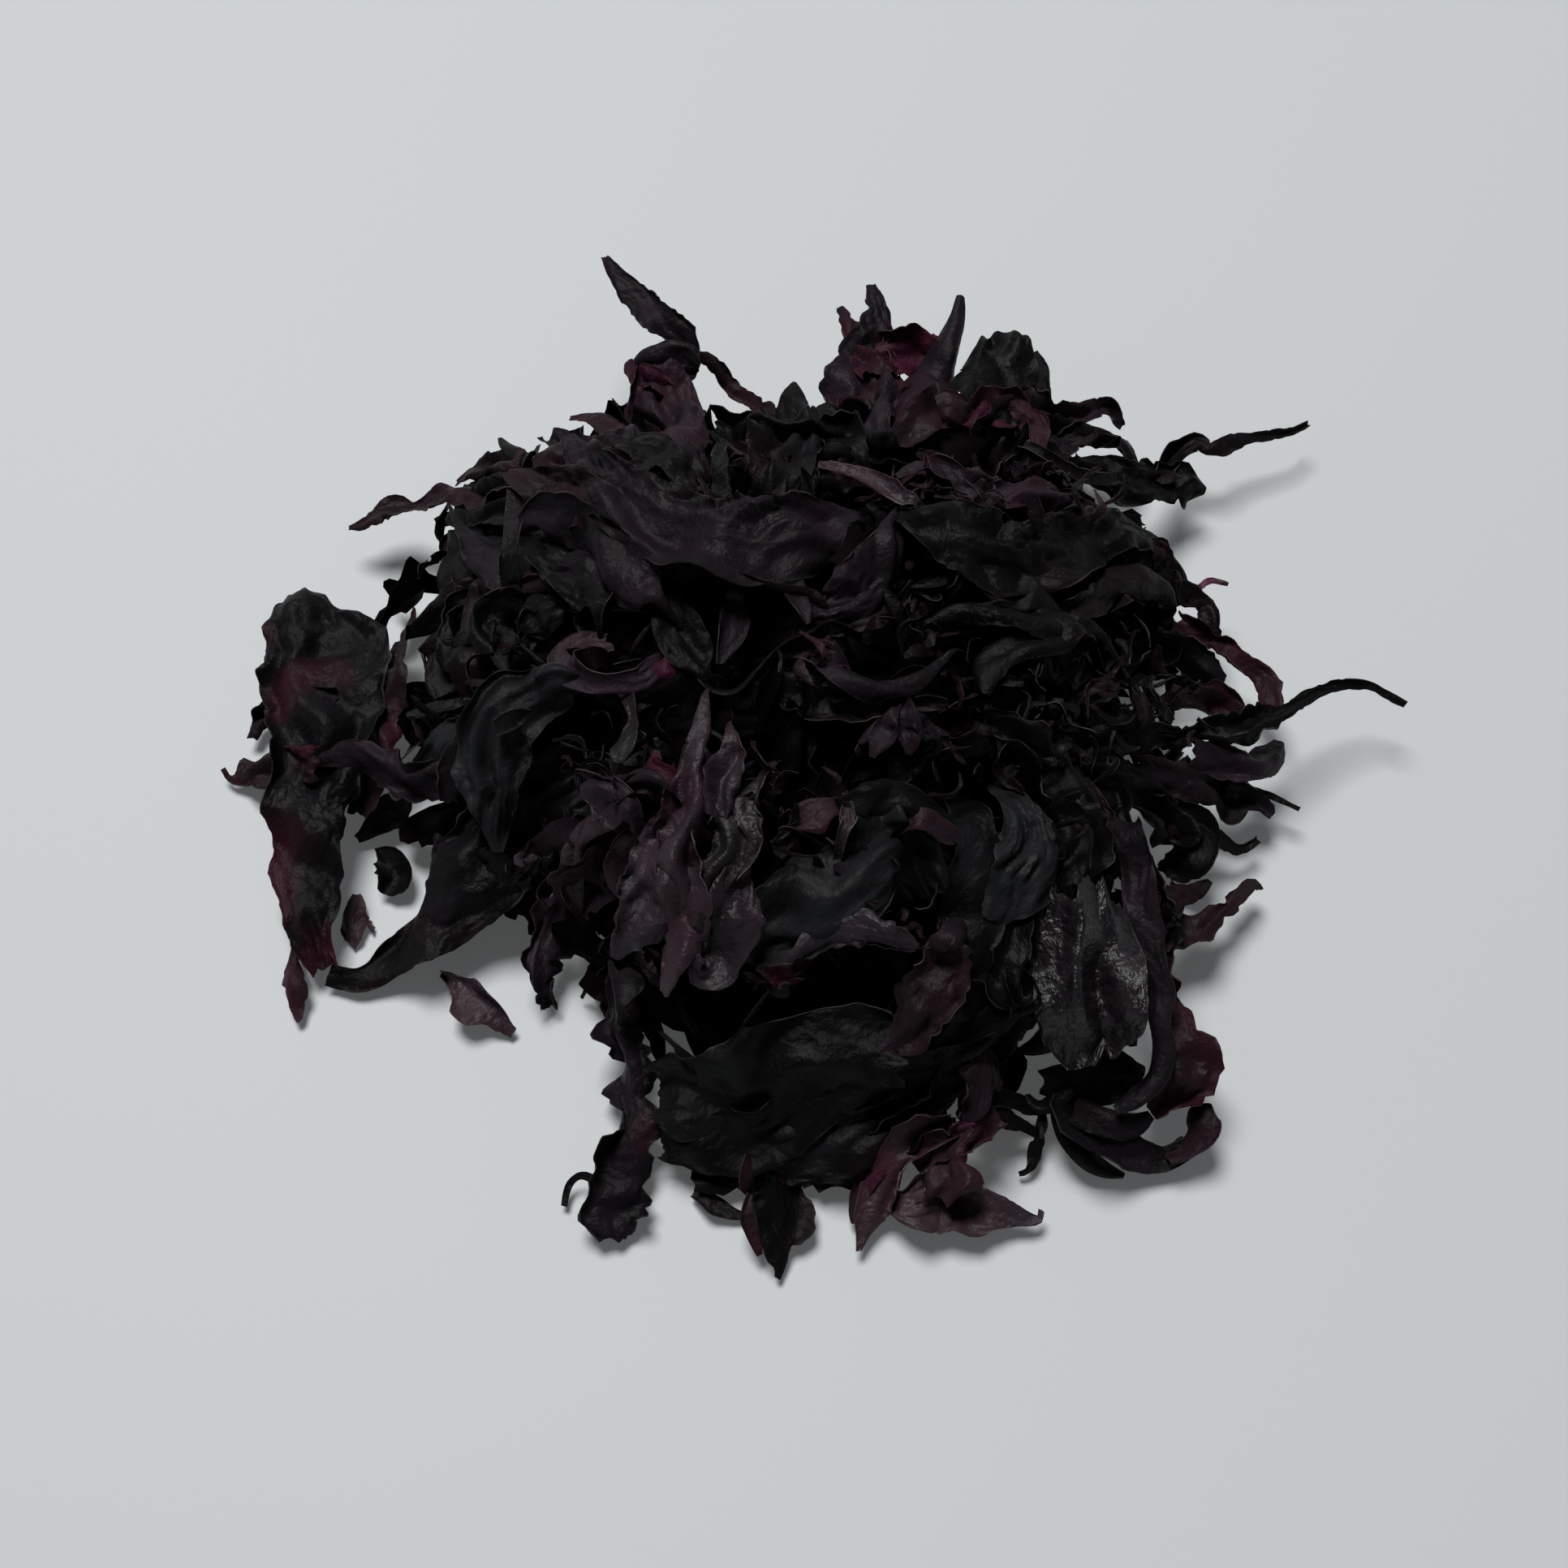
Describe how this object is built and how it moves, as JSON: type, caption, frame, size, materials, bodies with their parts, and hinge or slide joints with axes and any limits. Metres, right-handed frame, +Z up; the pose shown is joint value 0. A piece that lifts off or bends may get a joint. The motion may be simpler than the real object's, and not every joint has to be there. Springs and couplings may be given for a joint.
{
  "type": "dried dulse",
  "caption": "Loose heap of dried dulse seaweed: thin dark purple fronds, ruffled and curled, piled on a low mound that rests on a flat underside.",
  "frame": {"origin": "middle of the heap's length and width, at the level of the surface it rests on", "axes": "+X to the right and +Y away from the eye as pictured, +Z up"},
  "size_m": [0.2786, 0.2548, 0.0695],
  "materials": {
    "dried_dulse": "satin"
  },
  "bodies": {
    "root": {"dulse_heap": "dried_dulse"}
  },
  "joints": []
}
